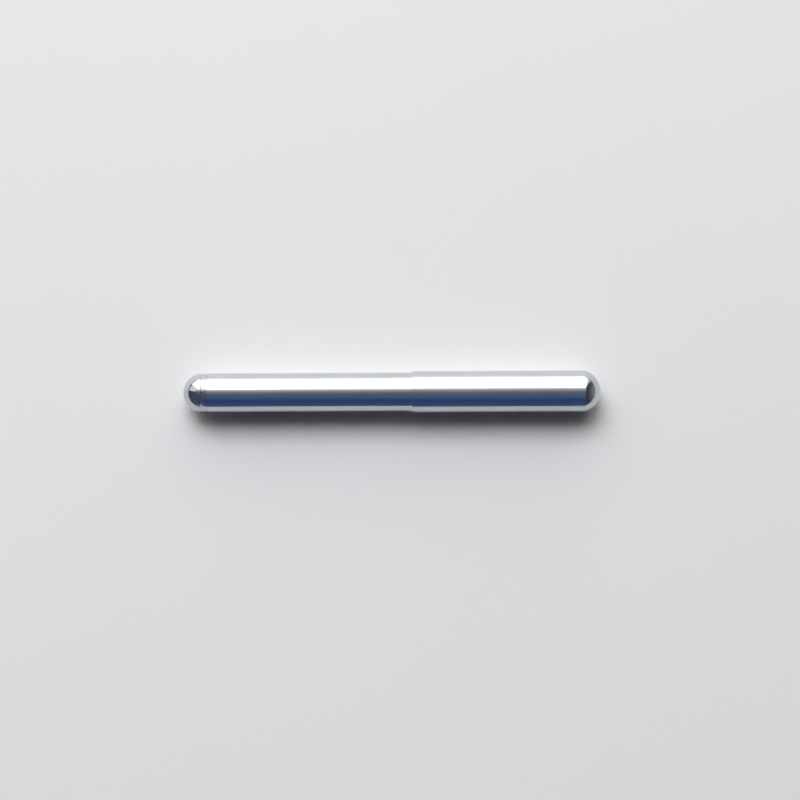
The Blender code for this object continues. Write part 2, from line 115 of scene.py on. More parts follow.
# Bores and threads that pieces share, as the frame has them
CAP_BORE = 4.25 * MM
BARREL_BORE = 3.75 * MM
SECTION_BORE = 2.75 * MM
CAP_THREAD_PITCH = 0.7 * MM
CAP_THREAD_ROOT = 4.20 * MM
CAP_THREAD_HEIGHT = 0.22 * MM
CAP_NUT_CREST = 4.48 * MM
CAP_NUT_DEPTH = 0.16 * MM
CAP_THREAD_INSET = 0.63 * MM
TAIL_THREAD_ROOT = 4.44 * MM
TAIL_THREAD_HEIGHT = 0.10 * MM
BARREL_THREAD_PITCH = 0.6 * MM
BARREL_THREAD_ROOT = 3.48 * MM
BARREL_THREAD_HEIGHT = 0.22 * MM
BARREL_NUT_DEPTH = 0.20 * MM
BARREL_THREAD_INSET = 0.8 * MM
THREAD_STARTS = 2
FACE_GAP = 0.05 * MM


# ---------------------------------------------------------------- outlines


def rolled_ridge():
    """One pitch of a thread with rounded crests and roots, as (share of pitch, share of height)."""
    points = []
    for step in range(THREAD_STEPS):
        share = step / THREAD_STEPS
        slope = 1 - abs(2 * share - 1)
        flank = min(max((slope - 0.12) / 0.76, 0.0), 1.0)
        points.append((share, flank * flank * (3 - 2 * flank)))
    return tuple(points)


def fine_groove():
    """One pitch of a thread that is broad crests with a narrow groove between them."""
    return (
        (0.0, 1.0),
        (0.34, 1.0),
        (0.38, 0.90),
        (0.47, 0.14),
        (0.50, 0.05),
        (0.53, 0.14),
        (0.62, 0.90),
        (0.66, 1.0),
    )


def square_channel():
    """One pitch of a channel with upright walls and softened edges."""
    return (
        (0.0, 0.0),
        (0.03, 0.12),
        (0.06, 0.9),
        (0.09, 1.0),
        (0.49, 1.0),
        (0.52, 0.9),
        (0.55, 0.12),
        (0.58, 0.0),
    )


def arc(centre, radius, start_angle, end_angle, steps):
    turns = [start_angle + (end_angle - start_angle) * i / steps for i in range(steps + 1)]
    return [(centre + radius * math.cos(t), radius * math.sin(t)) for t in turns]


def bend(start, corner, end, steps):
    """A soft bend from a point to a point, tangent to the lines that meet in the corner."""
    start, corner, end = Vector(start), Vector(corner), Vector(end)
    shares = [i / steps for i in range(steps + 1)]
    return [
        tuple(start * (1 - t) ** 2 + corner * 2 * t * (1 - t) + end * t**2) for t in shares
    ]


def round_section(centre, ring_radius, wire_radius, sides):
    turns = [-2 * math.pi * i / sides for i in range(sides)]
    return [
        (centre + wire_radius * math.cos(t), ring_radius + wire_radius * math.sin(t)) for t in turns
    ]


def band(start, end, inner, outer):
    return [(start, inner), (start, outer), (end, outer), (end, inner)]


def groove(start, end, surface, bottom):
    return [(start, surface), (start, bottom), (end, bottom), (end, surface)]


def thread_rows(thread, turn):
    """The thread's points where the outline has turned this share of a circle. Both ends run out."""
    low, high = sorted((thread.start, thread.end))
    pitches = math.ceil((high - low) / thread.pitch)
    fade_length = thread.pitch / 2
    rows = []
    for index in range(-thread.starts, pitches + 1):
        for share, rise in thread.shape:
            place = low + thread.pitch * (index + share + thread.starts * turn)
            here = min(max(place, low), high)
            fade = min(1.0, (here - low) / fade_length, (high - here) / fade_length)
            rows.append((here, thread.radius + thread.height * rise * fade))
    return rows if thread.start < thread.end else rows[::-1]


def rolled_thread(start, end, radius, height, pitch):
    return Thread(start, end, radius, height, pitch, THREAD_STARTS, rolled_ridge())


def near_end(item, last):
    """The plain point of an outline item that a neighbour meets."""
    if isinstance(item, Thread):
        return Vector((item.end if last else item.start, item.radius))
    return Vector(item)


def softened(outline, radius=EDGE_RADIUS):
    """Rounds every corner, with a point on each side that keeps the long faces true when shaded."""
    closed = outline[0][1] > 0
    count = len(outline)
    soft = []
    for index, item in enumerate(outline):
        if isinstance(item, Thread) or (not closed and index in (0, count - 1)):
            soft.append(item)
            continue
        here = Vector(item)
        to_last = near_end(outline[index - 1], True) - here
        to_next = near_end(outline[(index + 1) % count], False) - here
        corner = math.pi - to_last.angle(to_next)
        if corner < LEAST_CORNER:
            soft.append(item)
            continue
        reach = min(radius * math.tan(corner / 2), 0.3 * to_last.length, 0.3 * to_next.length)
        start = here + to_last.normalized() * reach
        end = here + to_next.normalized() * reach
        soft.append(tuple(start + to_last.normalized() * reach / 2))
        soft.extend(bend(start, here, end, EDGE_STEPS))
        soft.append(tuple(end + to_next.normalized() * reach / 2))
    return soft


# ---------------------------------------------------------------- mesh work


def mesh_object(name, shape):
    bmesh.ops.remove_doubles(shape, verts=shape.verts, dist=1e-7)
    bmesh.ops.recalc_face_normals(shape, faces=shape.faces)
    mesh = bpy.data.meshes.new(name)
    shape.to_mesh(mesh)
    shape.free()
    mesh.shade_smooth()
    mesh.set_sharp_from_angle(angle=SHARP_ANGLE)
    made = bpy.data.objects.new(name, mesh)
    bpy.context.scene.collection.objects.link(made)
    return made


def turned(name, outline, sides, sweep=1.0, ribs=None):
    """Turns an outline of (station, radius) points and threads about the pen's axis.

    ribs is (count, least radius, depth): points at or beyond that radius get lengthwise flutes.
    A sweep under 1 leaves a gap at the top, and both of its ends are closed.
    """
    shape = bmesh.new()
    columns = []
    for step in range(sides + 1):
        turn = sweep * step / sides
        angle = 2 * math.pi * (turn + (1 - sweep) / 2)
        rows = []
        for part in outline:
            rows.extend(thread_rows(part, turn) if isinstance(part, Thread) else [part])
        if ribs:
            count, least, depth = ribs
            sink = depth * (0.5 - 0.5 * math.cos(2 * math.pi * count * turn)) ** 2
            rows = [(s, r - sink if r >= least else r) for s, r in rows]
        columns.append(
            [
                shape.verts.new(
                    (CAD_BOX[0].x + s, -r * math.sin(angle), AXIS_Z + r * math.cos(angle))
                )
                for s, r in rows
            ]
        )
    first_row = 1 if outline[0][1] == 0 else 0
    for left, right in zip(columns, columns[1:]):
        for row in range(first_row, len(left)):
            shape.faces.new((left[row - 1], left[row], right[row], right[row - 1]))
    if sweep < 1:
        shape.faces.new(columns[0])
        shape.faces.new(reversed(columns[-1]))
    return mesh_object(name, shape)


def coil(name, start, end, coil_radius, wire_radius, coils):
    """A compression spring whose first and last coils lie closed."""
    curve = bpy.data.curves.new(name, "CURVE")
    curve.dimensions = "3D"
    curve.bevel_depth = wire_radius
    curve.bevel_resolution = 4
    curve.use_fill_caps = True
    wire = curve.splines.new("POLY")
    count = coils * COIL_STEPS
    wire.points.add(count)
    closed_pitch = 2.2 * wire_radius
    open_pitch = (end - start - 2 * closed_pitch) / (coils - 2)
    here = start
    for index in range(count + 1):
        angle = 2 * math.pi * index / COIL_STEPS
        place = (
            CAD_BOX[0].x + here,
            coil_radius * math.sin(angle),
            AXIS_Z + coil_radius * math.cos(angle),
        )
        wire.points[index].co = (*place, 1.0)
        is_open = COIL_STEPS <= index < count - COIL_STEPS
        here += (open_pitch if is_open else closed_pitch) / COIL_STEPS
    return curve_to_mesh(name, curve)


def curve_to_mesh(name, curve):
    guide = bpy.data.objects.new(name + "_guide", curve)
    bpy.context.scene.collection.objects.link(guide)
    graph = bpy.context.evaluated_depsgraph_get()
    shape = bmesh.new()
    shape.from_mesh(bpy.data.meshes.new_from_object(guide.evaluated_get(graph)))
    bpy.data.objects.remove(guide)
    return mesh_object(name, shape)


def finish_piece(piece, body, slot, material, *nodes):
    """Hands a piece to its body and gives it its finish. It stands for the named frame nodes."""
    piece.data.materials.clear()
    piece.data.materials.append(material)
    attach(piece, body)
    if nodes:
        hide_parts(*nodes)
    return piece


# ---------------------------------------------------------------- materials


class Surface:
    """A Principled material and short ways to add its nodes."""

    def __init__(self, name, color, roughness, metallic=0.0):
        self.material = bpy.data.materials.new(name)
        self.material.use_nodes = True
        self.tree = self.material.node_tree
        self.shader = self.tree.nodes["Principled BSDF"]
        self.shader.inputs["Base Color"].default_value = (*color, 1.0)
        self.shader.inputs["Roughness"].default_value = roughness
        self.shader.inputs["Metallic"].default_value = metallic
        self.place = self.tree.nodes.new("ShaderNodeTexCoord").outputs["Object"]

    def set(self, socket, value):
        self.shader.inputs[socket].default_value = value

    def link(self, source, socket):
        self.tree.links.new(source, self.shader.inputs[socket])

    def noise(self, scale, detail=3.0, stretch=(1.0, 1.0, 1.0)):
        mapping = self.tree.nodes.new("ShaderNodeMapping")
        mapping.inputs["Scale"].default_value = stretch
        texture = self.tree.nodes.new("ShaderNodeTexNoise")
        texture.inputs["Scale"].default_value = scale
        texture.inputs["Detail"].default_value = detail
        self.tree.links.new(self.place, mapping.inputs["Vector"])
        self.tree.links.new(mapping.outputs["Vector"], texture.inputs["Vector"])
        return texture.outputs["Fac"]

    def range(self, source, low, high, from_low=0.3, from_high=0.7):
        node = self.tree.nodes.new("ShaderNodeMapRange")
        node.inputs["From Min"].default_value = from_low
        node.inputs["From Max"].default_value = from_high
        node.inputs["To Min"].default_value = low
        node.inputs["To Max"].default_value = high
        self.tree.links.new(source, node.inputs["Value"])
        return node.outputs["Result"]

    def colors(self, source, *stops):
        """A colour ramp of (position, colour) stops."""
        ramp = self.tree.nodes.new("ShaderNodeValToRGB")
        fill_ramp(ramp, stops)
        self.tree.links.new(source, ramp.inputs["Fac"])
        return ramp.outputs["Color"]

    def bump(self, *heights):
        """Chains bumps of (source, height in metres) into the shader's normal."""
        last = None
        for source, height in heights:
            node = self.tree.nodes.new("ShaderNodeBump")
            node.inputs["Strength"].default_value = 1.0
            node.inputs["Distance"].default_value = height
            self.tree.links.new(source, node.inputs["Height"])
            if last:
                self.tree.links.new(last, node.inputs["Normal"])
            last = node.outputs["Normal"]
        self.link(last, "Normal")


def rings(per_metre, along_ring=60.0):
    """How to stretch a texture so that it runs in rings round the pen, as a lathe leaves it."""
    return (per_metre, along_ring, along_ring)


def turned_metal(name, color, roughness, spread, mark_height, marks_per_metre):
    surface = Surface(name, color, roughness, metallic=1.0)
    smudge = surface.noise(180.0, 4.0)
    fine = surface.noise(1.0, 2.0, rings(marks_per_metre))
    rough = surface.range(smudge, roughness - spread, roughness + spread)
    surface.link(rough, "Roughness")
    darker = tuple(0.955 * part for part in color)
    surface.link(surface.colors(smudge, (0.35, darker), (0.62, color)), "Base Color")
    broad = surface.noise(1.0, 1.0, rings(marks_per_metre / 9))
    surface.bump((fine, mark_height), (broad, mark_height * 3))
    return surface


def polished_aluminium():
    surface = turned_metal("polished_aluminium", (0.61, 0.645, 0.677), 0.10, 0.025, 1.2e-7, 7000.0)
    return surface.material


def satin_aluminium():
    surface = turned_metal("satin_aluminium", (0.80, 0.81, 0.83), 0.30, 0.05, 6e-7, 9000.0)
    return surface.material


def stainless_steel():
    surface = turned_metal("stainless_steel", (0.66, 0.65, 0.64), 0.20, 0.04, 3e-7, 12000.0)
    return surface.material


def spring_steel():
    surface = Surface("spring_steel", (0.50, 0.49, 0.48), 0.28, metallic=1.0)
    drawn = surface.noise(2500.0, 2.0)
    surface.link(surface.range(drawn, 0.20, 0.38), "Roughness")
    surface.bump((drawn, 4e-7))
    return surface.material


def brass():
    surface = turned_metal("brass", (0.78, 0.58, 0.28), 0.26, 0.06, 5e-7, 9000.0)
    return surface.material


def moulded(name, color, roughness, grain_height=6e-7):
    surface = Surface(name, color, roughness)
    grain = surface.noise(9000.0, 3.0)
    flow = surface.noise(350.0, 2.0)
    lighter = tuple(min(1.0, 1.08 * part + 0.004) for part in color)
    surface.link(surface.colors(flow, (0.35, color), (0.7, lighter)), "Base Color")
    surface.link(surface.range(flow, roughness - 0.05, roughness + 0.06), "Roughness")
    surface.bump((grain, grain_height), (flow, 1.5e-6))
    return surface


def white_plastic():
    return moulded("white_plastic", (0.80, 0.80, 0.77), 0.42).material


def black_plastic():
    return moulded("black_plastic", (0.022, 0.022, 0.026), 0.36).material


def blue_plastic():
    surface = moulded("blue_plastic", (0.012, 0.085, 0.42), 0.26, 3e-7)
    surface.set("Coat Weight", 0.4)
    surface.set("Coat Roughness", 0.08)
    return surface.material


def clear_plastic():
    surface = moulded("clear_plastic", (0.84, 0.88, 0.90), 0.16, 4e-7)
    surface.set("Alpha", 0.17)
    surface.set("IOR", 1.49)
    return surface.material


def rubber(name, color):
    surface = Surface(name, color, 0.72)
    grain = surface.noise(6000.0, 4.0)
    bloom = surface.noise(900.0, 3.0)
    dusty = tuple(part + 0.018 for part in color)
    surface.link(surface.colors(bloom, (0.4, color), (0.68, dusty)), "Base Color")
    surface.link(surface.range(bloom, 0.62, 0.82), "Roughness")
    surface.bump((grain, 2e-6))
    return surface.material


def ink():
    surface = Surface("ink", (0.004, 0.004, 0.007), 0.04)
    ripple = surface.noise(240.0, 1.0)
    surface.bump((ripple, 2e-6))
    return surface.material


def paper():
    surface = Surface("paper", (0.80, 0.805, 0.82), 0.50)
    cloud = surface.noise(9.0, 2.0)
    fibre = surface.noise(1400.0, 5.0)
    shade = surface.colors(cloud, (0.3, (0.797, 0.808, 0.827)), (0.7, (0.812, 0.820, 0.834)))
    surface.link(shade, "Base Color")
    surface.bump((fibre, 1.2e-5))
    surface.set("Specular IOR Level", 1.0)
    return surface.material


# ---------------------------------------------------------------- the cap


def make_cap_shell(material):
    start, end = span("cap_shell")
    radius = outer_radius("cap_shell")
    dome_radius = 5.0 * MM
    dome_edge = math.radians(70)
    bore_end = end - 3.4 * MM
    drill_flat = 3.0 * MM
    drill_tip = 1.3 * MM
    thread_start = start + CAP_THREAD_INSET
    thread_end = thread_start + 5 * CAP_THREAD_PITCH
    thread_run_in = 0.1 * MM
    thread_run_out = 0.2 * MM
    mouth_radius = CAP_NUT_CREST + CAP_NUT_DEPTH
    ring_start, ring_end = span("inner_cap_retaining_ring")
    groove_radius = 4.50 * MM
    dome_centre = end - dome_radius
    dome = arc(dome_centre, dome_radius, dome_edge, 0.0, DOME_STEPS)
    # Where the line along the dome's first point meets the wall
    wall_corner = dome_centre + (dome_radius - radius * math.sin(dome_edge)) / math.cos(dome_edge)
    wall_end = 2 * wall_corner - dome[0][0]
    shoulder = bend((wall_end, radius), (wall_corner, radius), dome[0], BEND_STEPS)
    inside = [
        (bore_end + drill_tip, 0.0),
        (bore_end, drill_flat),
        (bore_end, CAP_BORE),
        *groove(ring_end + FACE_GAP, ring_start - FACE_GAP, CAP_BORE, groove_radius),
        (thread_end + thread_run_out, CAP_BORE),
        rolled_thread(thread_end, thread_start, CAP_NUT_CREST, CAP_NUT_DEPTH, CAP_THREAD_PITCH),
        (thread_start - thread_run_in, mouth_radius),
        (start, mouth_radius),
    ]
    outside = [(start, radius), *shoulder, *dome[1:-1], (end, 0.0)]
    outline = softened(inside + outside)
    piece = turned("cap_shell_turned", outline, SHELL_SIDES)
    finish_piece(piece, "cap", "polished_aluminium", material, "cap_shell")


def make_retaining_ring(material):
    start, end = span("inner_cap_retaining_ring")
    inner = 3.72 * MM
    outer = 4.42 * MM
    slit = 1.2 * MM
    outline = softened(band(start, end, inner, outer))
    gap = slit / (math.pi * (inner + outer))
    piece = turned("retaining_ring_turned", outline, INNER_SIDES, sweep=1 - gap)
    finish_piece(piece, "cap", "spring_steel", material, "inner_cap_retaining_ring")


def make_inner_cap(material):
    start, end = span("inner_cap")
    bore = 3.6 * MM
    seal_bore = 3.05 * MM
    wide = 4.1 * MM
    boss = 2.1 * MM
    mouth_depth = 0.3 * MM
    mouth_flare = 0.15 * MM
    bore_end = start + 7.6 * MM
    seal_bore_start = start + 8.1 * MM
    wide_end = start + 8.3 * MM
    narrow_start = start + 8.9 * MM
    front = end - 2.0 * MM
    seal_seat = front - 1.6 * MM
    outline = [
        (seal_seat, 0.0),
        (seal_seat, seal_bore),
        (seal_bore_start, seal_bore),
        (bore_end, bore),
        (start + mouth_depth, bore),
        (start, bore + mouth_flare),
        (start, wide),
        (wide_end, wide),
        (narrow_start, bore),
        (front, bore),
        (front, boss),
        (end, boss),
        (end, 0.0),
    ]
    piece = turned("inner_cap_moulded", softened(outline, MOULDED_EDGE_RADIUS), INNER_SIDES)
    finish_piece(piece, "inner_cap_body", "white_plastic", material, "inner_cap")


def make_point_seal(material):
    start, end = span("point_seal")
    tip = span("nib_tube")[1]
    radius = 3.0 * MM
    hole = 0.5 * MM
    hole_wall_end = tip + 0.45 * MM
    hole_bottom = tip + 0.6 * MM
    funnel_mouth = 1.2 * MM
    funnel_depth = 1.0 * MM
    outline = [
        (hole_bottom, 0.0),
        (hole_wall_end, hole),
        (start + funnel_depth, hole),
        (start, funnel_mouth),
        (start, radius),
        (end, radius),
        (end, 0.0),
    ]
    piece = turned("point_seal_moulded", softened(outline, MOULDED_EDGE_RADIUS), INNER_SIDES)
    finish_piece(piece, "inner_cap_body", "grey_rubber", material, "point_seal")


def make_springs(material):
    wire = 0.2 * MM
    for node, body, radius, coils in (
        ("inner_cap_spring", "inner_cap_body", 2.6 * MM, 7),
        ("cartridge_spring", "barrel_slide", 2.3 * MM, 9),
    ):
        start, end = span(node)
        piece = coil(node + "_wound", start + wire, end - wire, radius, wire, coils)
        finish_piece(piece, body, "spring_steel", material, node)
        if node == "cartridge_spring":
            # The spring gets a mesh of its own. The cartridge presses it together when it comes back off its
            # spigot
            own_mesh(piece)


def make_washers(material):
    for node, body, inner, outer in (
        ("cap_thrust_washer", "cap_washer", 1.2 * MM, 4.1 * MM),
        ("tail_thrust_washer", "barrel_washer", 0.8 * MM, 2.8 * MM),
    ):
        start, end = span(node)
        piece = turned(node + "_turned", softened(band(start, end, inner, outer)), INNER_SIDES)
        finish_piece(piece, body, "white_plastic", material, node)


# ---------------------------------------------------------------- the barrel


def make_barrel_tube(material):
    start, end = span("barrel_tube")
    radius = outer_radius("barrel_tube")
    thread_start = span("grip_section")[0] + BARREL_THREAD_INSET
    thread_end = thread_start + 6 * BARREL_THREAD_PITCH
    mouth_chamfer = 0.1 * MM
    outline = [
        (start, BARREL_BORE),
        (start, radius),
        (end, radius),
        (end, BARREL_BORE + mouth_chamfer),
        (end - mouth_chamfer, BARREL_BORE),
        rolled_thread(thread_end, thread_start, BARREL_BORE, BARREL_NUT_DEPTH, BARREL_THREAD_PITCH),
    ]
    piece = turned("barrel_tube_turned", softened(outline, FINE_EDGE_RADIUS), SHELL_SIDES)
    finish_piece(piece, "barrel", "polished_aluminium", material, "barrel_tube")


def make_tail_finial(material):
    start, end = span("tail_finial")
    shoulder = span("barrel_tube")[0] - FACE_GAP
    dome_radius = 4.6 * MM
    dome_depth = 3.3 * MM
    thread_start = start + dome_depth + 0.08 * MM
    thread_end = shoulder - 0.2 * MM
    seam = start + 4.4 * MM
    seam_depth = 0.10 * MM
    seam_half = 0.07 * MM
    shank = 3.68 * MM
    recess = 2.9 * MM
    recess_end = span("tail_thrust_washer")[0] - FACE_GAP
    dome_edge = math.acos((dome_radius - dome_depth) / dome_radius)
    dome = arc(start + dome_radius, dome_radius, math.pi, math.pi - dome_edge, DOME_STEPS)
    thread = Thread(
        thread_start,
        seam - seam_half,
        TAIL_THREAD_ROOT,
        TAIL_THREAD_HEIGHT,
        CAP_THREAD_PITCH,
        THREAD_STARTS,
        fine_groove(),
    )
    rest = [
        thread,
        (seam, TAIL_THREAD_ROOT - seam_depth),
        thread._replace(start=seam + seam_half, end=thread_end),
        (shoulder, TAIL_THREAD_ROOT),
        (shoulder, shank),
        (end, shank),
        (end, recess),
        (recess_end, recess),
        (recess_end, 0.0),
    ]
    outline = softened([(start, 0.0)] + dome[1:] + rest, FINE_EDGE_RADIUS)
    piece = turned("tail_finial_turned", outline, SHELL_SIDES)
    finish_piece(piece, "barrel", "polished_aluminium", material, "tail_finial")


# ---------------------------------------------------------------- the section


def grip_rings(start, end, radius_at, count, width, depth):
    """Shallow rings turned into the grip, as outline points. The first and last stay clear of the ends."""
    points = []
    for index in range(count):
        middle = start + (end - start) * (index + 0.5) / count
        for offset, share in ((-0.5, 0.0), (-0.3, 0.75), (0.0, 1.0), (0.3, 0.75), (0.5, 0.0)):
            place = middle + offset * width
            points.append((place, radius_at(place) - depth * share))
    return points


def make_grip_section(material):
    start, end = span("grip_section")
    rear_radius = 3.3 * MM
    pilot = 3.68 * MM
    grip_radius = 3.85 * MM
    lip = 3.5 * MM
    lip_edge = 3.36 * MM
    front_radius = 3.2 * MM
    waist = 3.42 * MM
    ring_count = 7
    ring_width = 0.5 * MM
    ring_depth = 0.07 * MM
    rear_chamfer = 0.2 * MM
    front_chamfer = 0.2 * MM
    barrel_thread = (start + BARREL_THREAD_INSET, start + 4.2 * MM)
    pilot_start = start + 4.5 * MM
    shoulder = span("barrel_tube")[1] + FACE_GAP
    cap_thread_start = span("cap_shell")[0] + CAP_THREAD_INSET
    cap_thread = (cap_thread_start, cap_thread_start + 2.6 * MM)
    collar_end = start + 10.55 * MM
    grip_start = start + 11.0 * MM
    rings_start = start + 11.6 * MM
    waist_start = start + 18.4 * MM
    waist_end = start + 20.4 * MM
    lip_start = start + 22.4 * MM
    lip_end = end - 0.8 * MM
    barrel_seal_groove = groove(start + 5.0 * MM, start + 5.8 * MM, pilot, 3.08 * MM)
    cap_seal_groove = groove(start + 23.25 * MM, start + 23.85 * MM, lip, 3.06 * MM)

    def taper(place):
        share = (place - grip_start) / (waist_start - grip_start)
        return waist + (grip_radius - waist) * (1 - share) ** 2

    grip_points = grip_rings(rings_start, waist_start, taper, ring_count, ring_width, ring_depth)
    outline = [
        (start, SECTION_BORE),
        (start, rear_radius),
        (start + rear_chamfer, BARREL_THREAD_ROOT),
        rolled_thread(*barrel_thread, BARREL_THREAD_ROOT, BARREL_THREAD_HEIGHT, BARREL_THREAD_PITCH),
        (pilot_start - 0.1 * MM, BARREL_THREAD_ROOT),
        (pilot_start, pilot),
        *barrel_seal_groove,
        (shoulder, pilot),
        (shoulder, CAP_THREAD_ROOT),
        rolled_thread(*cap_thread, CAP_THREAD_ROOT, CAP_THREAD_HEIGHT, CAP_THREAD_PITCH),
        (collar_end, CAP_THREAD_ROOT),
        (grip_start, grip_radius),
        *grip_points,
        (waist_start, waist),
        (waist_end, waist),
        (lip_start, lip),
        *cap_seal_groove,
        (lip_end, lip),
        (end - front_chamfer, lip_edge),
        (end, front_radius),
        (end, SECTION_BORE),
    ]
    piece = turned("grip_section_turned", softened(outline), SHELL_SIDES)
    finish_piece(piece, "section", "satin_aluminium", material, "grip_section")


def make_o_rings(material):
    for node, ring_radius, wire in (
        ("barrel_o_ring", 3.42 * MM, 0.28 * MM),
        ("section_o_ring", 3.33 * MM, 0.22 * MM),
    ):
        start, end = span(node)
        outline = round_section((start + end) / 2, ring_radius, wire, RING_SIDES)
        piece = turned(node + "_moulded", outline, INNER_SIDES)
        finish_piece(piece, "section", "black_rubber", material, node)


def make_line_width_ring(material):
    start, end = span("line_width_ring")
    inner = 2.8 * MM
    outer = 3.2 * MM
    edge_radius = 0.12 * MM
    outline = softened(band(start, end, inner, outer), edge_radius)
    piece = turned("line_width_ring_moulded", outline, INNER_SIDES)
    finish_piece(piece, "section", "blue_plastic", material, "line_width_ring")


def make_drawing_cone(material):
    start, end = span("drawing_cone")
    shank = 2.65 * MM
    flange = 3.2 * MM
    flange_start = start + 4.75 * MM
    flange_end = start + 5.75 * MM
    chamfer = 0.2 * MM
    cone_base = 2.6 * MM
    neck = 1.0 * MM
    neck_length = 1.2 * MM
    nose = 0.64 * MM
    tube_bore = 0.42 * MM
    ink_bore = 0.95 * MM
    tube_seat = end - 2.4 * MM
    ink_bore_end = end - 2.8 * MM
    outline = [
        (start, ink_bore),
        (start, shank - chamfer),
        (start + chamfer, shank),
        (flange_start, shank),
        (flange_start, flange),
        (flange_end - chamfer, flange),
        (flange_end, flange - chamfer),
        (flange_end, cone_base),
        (end - neck_length, neck),
        (end, nose),
        (end, tube_bore),
        (tube_seat, tube_bore),
        (ink_bore_end, ink_bore),
    ]
    piece = turned("drawing_cone_turned", softened(outline), INNER_SIDES)
    finish_piece(piece, "section", "stainless_steel", material, "drawing_cone")


def make_nib_tube(material):
    start, end = span("nib_tube")
    radius = 0.35 * MM
    bore = 0.2 * MM
    shoulder_radius = 0.55 * MM
    shoulder_start = span("drawing_cone")[1] + FACE_GAP
    shoulder_end = shoulder_start + 0.65 * MM
    outline = [
        (start, bore),
        (start, radius),
        (shoulder_start, radius),
        (shoulder_start, shoulder_radius),
        (shoulder_end, shoulder_radius),
        (shoulder_end + 0.2 * MM, radius),
        (end, radius),
        (end, bore),
    ]
    piece = turned("nib_tube_drawn", softened(outline, SMALL_EDGE_RADIUS), FINE_SIDES)
    finish_piece(piece, "section", "stainless_steel", material, "nib_tube")


def make_compensator(material):
    start, end = span("compensator")
    spigot = 1.3 * MM
    chamfer = 0.1 * MM
    body = 2.62 * MM
    body_start = start + 3.6 * MM
    channel_start = start + 4.8 * MM
    channel_end = start + 24.0 * MM
    channel_depth = 0.5 * MM
    channel_pitch = 2.0 * MM
    weight_bore = 1.5 * MM
    feed_bore = 0.55 * MM
    chamber_end = start + 12.0 * MM
    outline = [
        (start, feed_bore),
        (start, spigot - chamfer),
        (start + chamfer, spigot),
        (body_start, spigot),
        (body_start, body),
        Thread(channel_start, channel_end, body, -channel_depth, channel_pitch, 1, square_channel()),
        (end, body),
        (end, weight_bore),
        (chamber_end, weight_bore),
        (chamber_end, feed_bore),
    ]
    piece = turned("compensator_moulded", softened(outline), INNER_SIDES)
    finish_piece(piece, "section", "black_plastic", material, "compensator")


def make_safety_plug(material):
    start, end = span("safety_plug")
    inner = 0.4 * MM
    outer = 1.42 * MM
    edge_radius = 0.12 * MM
    outline = softened(band(start, end, inner, outer), edge_radius)
    piece = turned("safety_plug_moulded", outline, FINE_SIDES)
    finish_piece(piece, "section", "black_plastic", material, "safety_plug")


def make_needle(weight_material, wire_material):
    start, end = span("drop_weight")
    radius = 1.2 * MM
    chamfer = 0.25 * MM
    hole = 0.16 * MM
    hole_depth = 2.6 * MM
    outline = [
        (start, 0.0),
        (start, radius - chamfer),
        (start + chamfer, radius),
        (end - chamfer, radius),
        (end, radius - chamfer),
        (end, hole),
        (end - hole_depth, hole),
        (end - hole_depth, 0.0),
    ]
    weight = turned("drop_weight_turned", softened(outline), FINE_SIDES)
    finish_piece(weight, "needle", "brass", weight_material, "drop_weight")
    start, end = span("cleaning_wire")
    wire_radius = 0.1 * MM
    outline = [(start, 0.0), (start, wire_radius), (end, wire_radius), (end, 0.0)]
    wire = turned("cleaning_wire_drawn", softened(outline, SMALL_EDGE_RADIUS), WIRE_SIDES)
    finish_piece(wire, "needle", "stainless_steel", wire_material, "cleaning_wire")


# ---------------------------------------------------------------- the cartridge


CARTRIDGE_RADIUS = 3.4 * MM
CARTRIDGE_WALL = 0.55 * MM
CARTRIDGE_NECK_BORE = 1.38 * MM


def cartridge_inside(start, end, gap):
    """The outline of the space in the cartridge up to its neck, shrunk by a gap."""
    radius = CARTRIDGE_RADIUS - CARTRIDGE_WALL - gap
    bottom = start + CARTRIDGE_WALL + gap
    neck_start = end - 3.2 * MM
    return [
        (bottom, 0.0),
        (bottom, radius),
        (neck_start - 1.6 * MM, radius),
        (neck_start, CARTRIDGE_NECK_BORE - gap),
        (neck_start, 0.0),
    ]


def make_cartridge(material):
    start, end = span("ink_cartridge")
    radius = CARTRIDGE_RADIUS
    foot_chamfer = 0.5 * MM
    edge_radius = 0.25 * MM
    neck = 2.3 * MM
    neck_start = end - 3.4 * MM
    outline = [
        (start, 0.0),
        (start, radius - foot_chamfer),
        (start + foot_chamfer, radius),
        (neck_start - 1.6 * MM, radius),
        (neck_start, neck),
        (end, neck),
        (end, CARTRIDGE_NECK_BORE),
        *reversed(cartridge_inside(start, end, 0.0)[:-1]),
    ]
    piece = turned("cartridge_moulded", softened(outline, edge_radius), INNER_SIDES)
    finish_piece(piece, "cartridge", "clear_plastic", material, "ink_cartridge")


def make_ink(material):
    """The ink lies in the lower part of the cartridge, level with the floor."""
    start, end = span("ink_cartridge")
    gap = 0.02 * MM
    edge_radius = 0.2 * MM
    level = (0.0, 0.0, AXIS_Z + 0.9 * MM)
    outline = softened(cartridge_inside(start, end, gap), edge_radius)
    piece = turned("ink", outline, INNER_SIDES)
    shape = bmesh.new()
    shape.from_mesh(piece.data)
    everything = shape.verts[:] + shape.edges[:] + shape.faces[:]
    cut = bmesh.ops.bisect_plane(
        shape, geom=everything, plane_co=level, plane_no=(0, 0, 1), clear_outer=True
    )
    rim = [item for item in cut["geom_cut"] if isinstance(item, bmesh.types.BMEdge)]
    bmesh.ops.contextual_create(shape, geom=rim)
    shape.to_mesh(piece.data)
    shape.free()
    piece.data.set_sharp_from_angle(angle=SHARP_ANGLE)
    finish_piece(piece, "cartridge", None, material)


